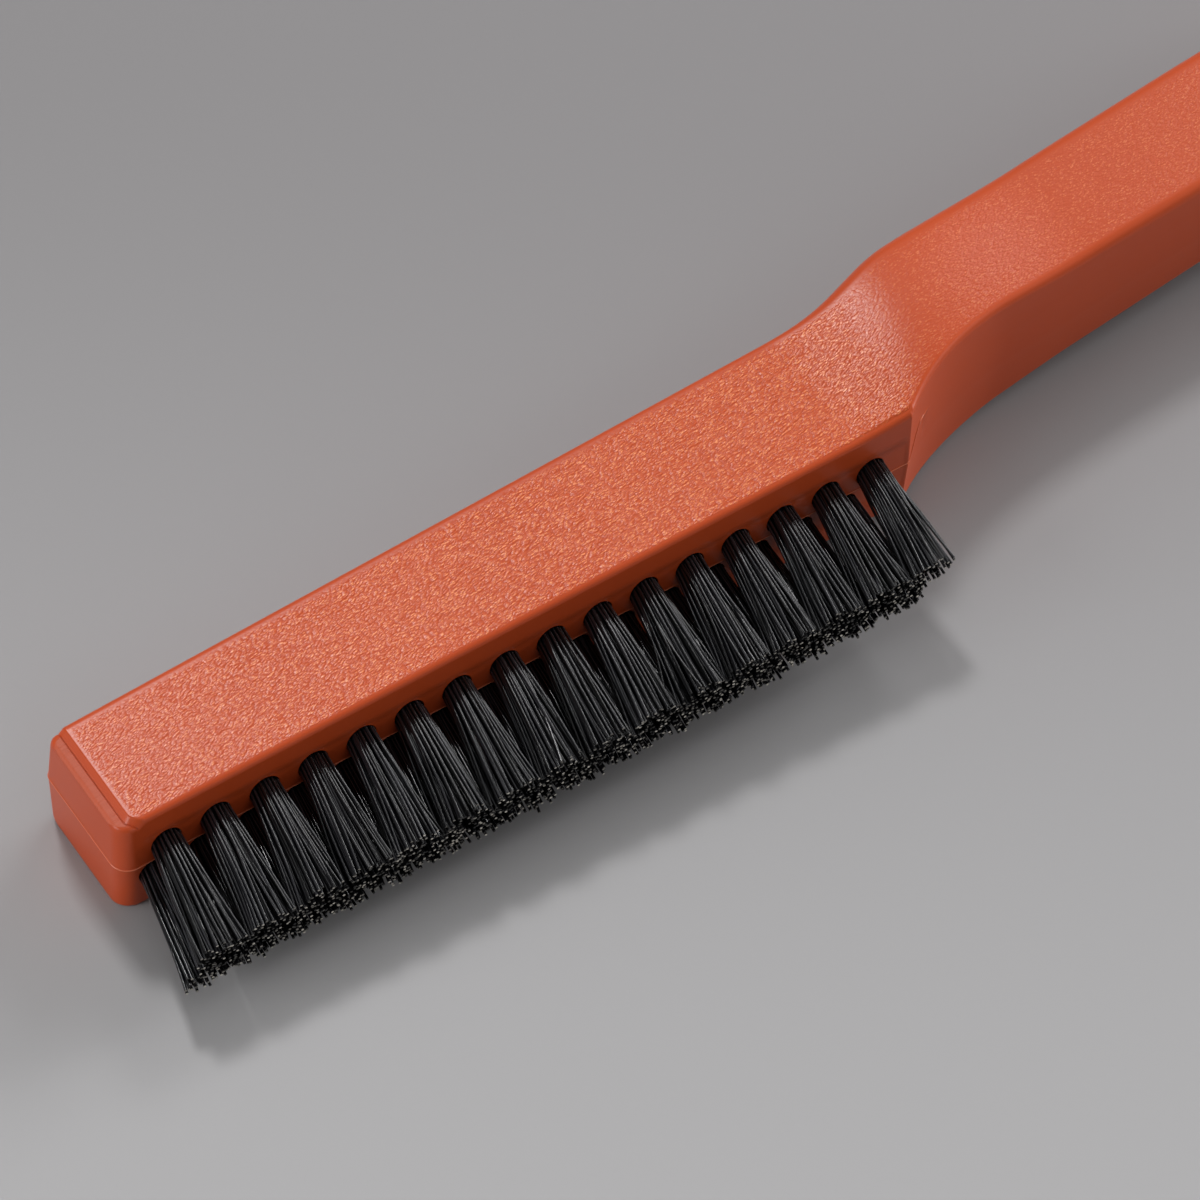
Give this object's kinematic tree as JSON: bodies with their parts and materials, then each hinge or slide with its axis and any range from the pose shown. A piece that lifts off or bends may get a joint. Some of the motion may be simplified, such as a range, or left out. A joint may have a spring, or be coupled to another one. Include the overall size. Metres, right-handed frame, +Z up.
{
  "type": "grout brush",
  "caption": "Narrow hand brush for tile joints: a straight head with two close rows of stiff black tufts, and a moulded handle with a hanging hole.",
  "frame": {"origin": "middle of the footprint of the bounding box, at the level of its lowest point, with the brush lying on one broad face", "axes": "+X along the brush from the tip of the head to the end of the handle, +Y from the bristles to the back, +Z up across the two broad faces, square to the parting plane"},
  "size_m": [0.1968, 0.0414, 0.0173],
  "materials": {
    "handle": "terracotta moulded plastic, grained on the broad faces and satin on the sides",
    "bristles": "satin black polymer filament, 0.25 to 0.3 mm",
    "anchors": "flat brass-plated wire, cut and driven"
  },
  "bodies": {
    "root": {"handle": "handle", "anchors_upper": "anchors", "anchors_lower": "anchors", "tuft_upper_01": "bristles", "tuft_upper_02": "bristles", "tuft_upper_03": "bristles", "tuft_upper_04": "bristles", "tuft_upper_05": "bristles", "tuft_upper_06": "bristles", "tuft_upper_07": "bristles", "tuft_upper_08": "bristles", "tuft_upper_09": "bristles", "tuft_upper_10": "bristles", "tuft_upper_11": "bristles", "tuft_upper_12": "bristles", "tuft_upper_13": "bristles", "tuft_upper_14": "bristles", "tuft_upper_15": "bristles", "tuft_upper_16": "bristles", "tuft_lower_01": "bristles", "tuft_lower_02": "bristles", "tuft_lower_03": "bristles", "tuft_lower_04": "bristles", "tuft_lower_05": "bristles", "tuft_lower_06": "bristles", "tuft_lower_07": "bristles", "tuft_lower_08": "bristles", "tuft_lower_09": "bristles", "tuft_lower_10": "bristles", "tuft_lower_11": "bristles", "tuft_lower_12": "bristles", "tuft_lower_13": "bristles", "tuft_lower_14": "bristles", "tuft_lower_15": "bristles", "tuft_lower_16": "bristles"}
  },
  "joints": []
}
